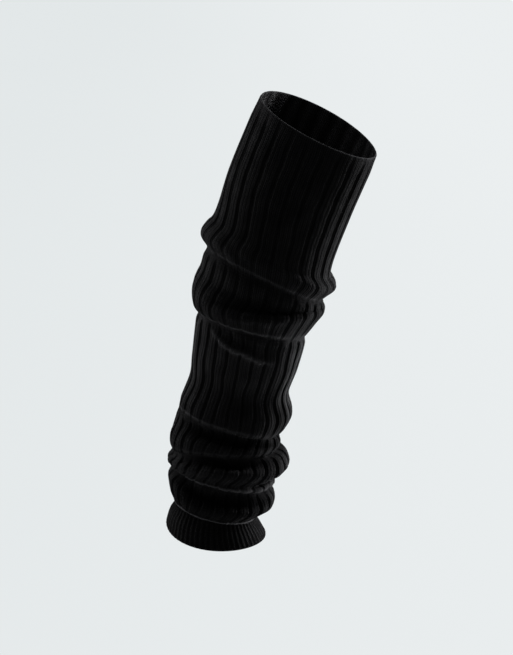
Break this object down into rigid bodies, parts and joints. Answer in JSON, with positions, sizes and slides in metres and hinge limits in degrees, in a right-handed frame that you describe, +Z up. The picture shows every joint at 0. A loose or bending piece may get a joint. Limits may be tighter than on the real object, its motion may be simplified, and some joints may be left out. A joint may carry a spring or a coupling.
{
  "type": "leg warmer",
  "caption": "Black rib-knit leg warmer, open at both ends, filled out and pushed down into folds above a fine-rib cuff.",
  "frame": {"origin": "middle of the hollow at the ankle, just above the fine-rib cuff, where a leg holds the leg warmer", "axes": "+Z up the leg towards the knee, -Y the front, +X the side the top leans to"},
  "size_m": [0.2093, 0.132, 0.4565],
  "materials": {
    "leg yarn": "matt rib knit",
    "cuff yarn": "matt fine rib knit"
  },
  "bodies": {
    "root": {"leg_tube": "leg yarn", "ankle_cuff": "cuff yarn"}
  },
  "joints": []
}
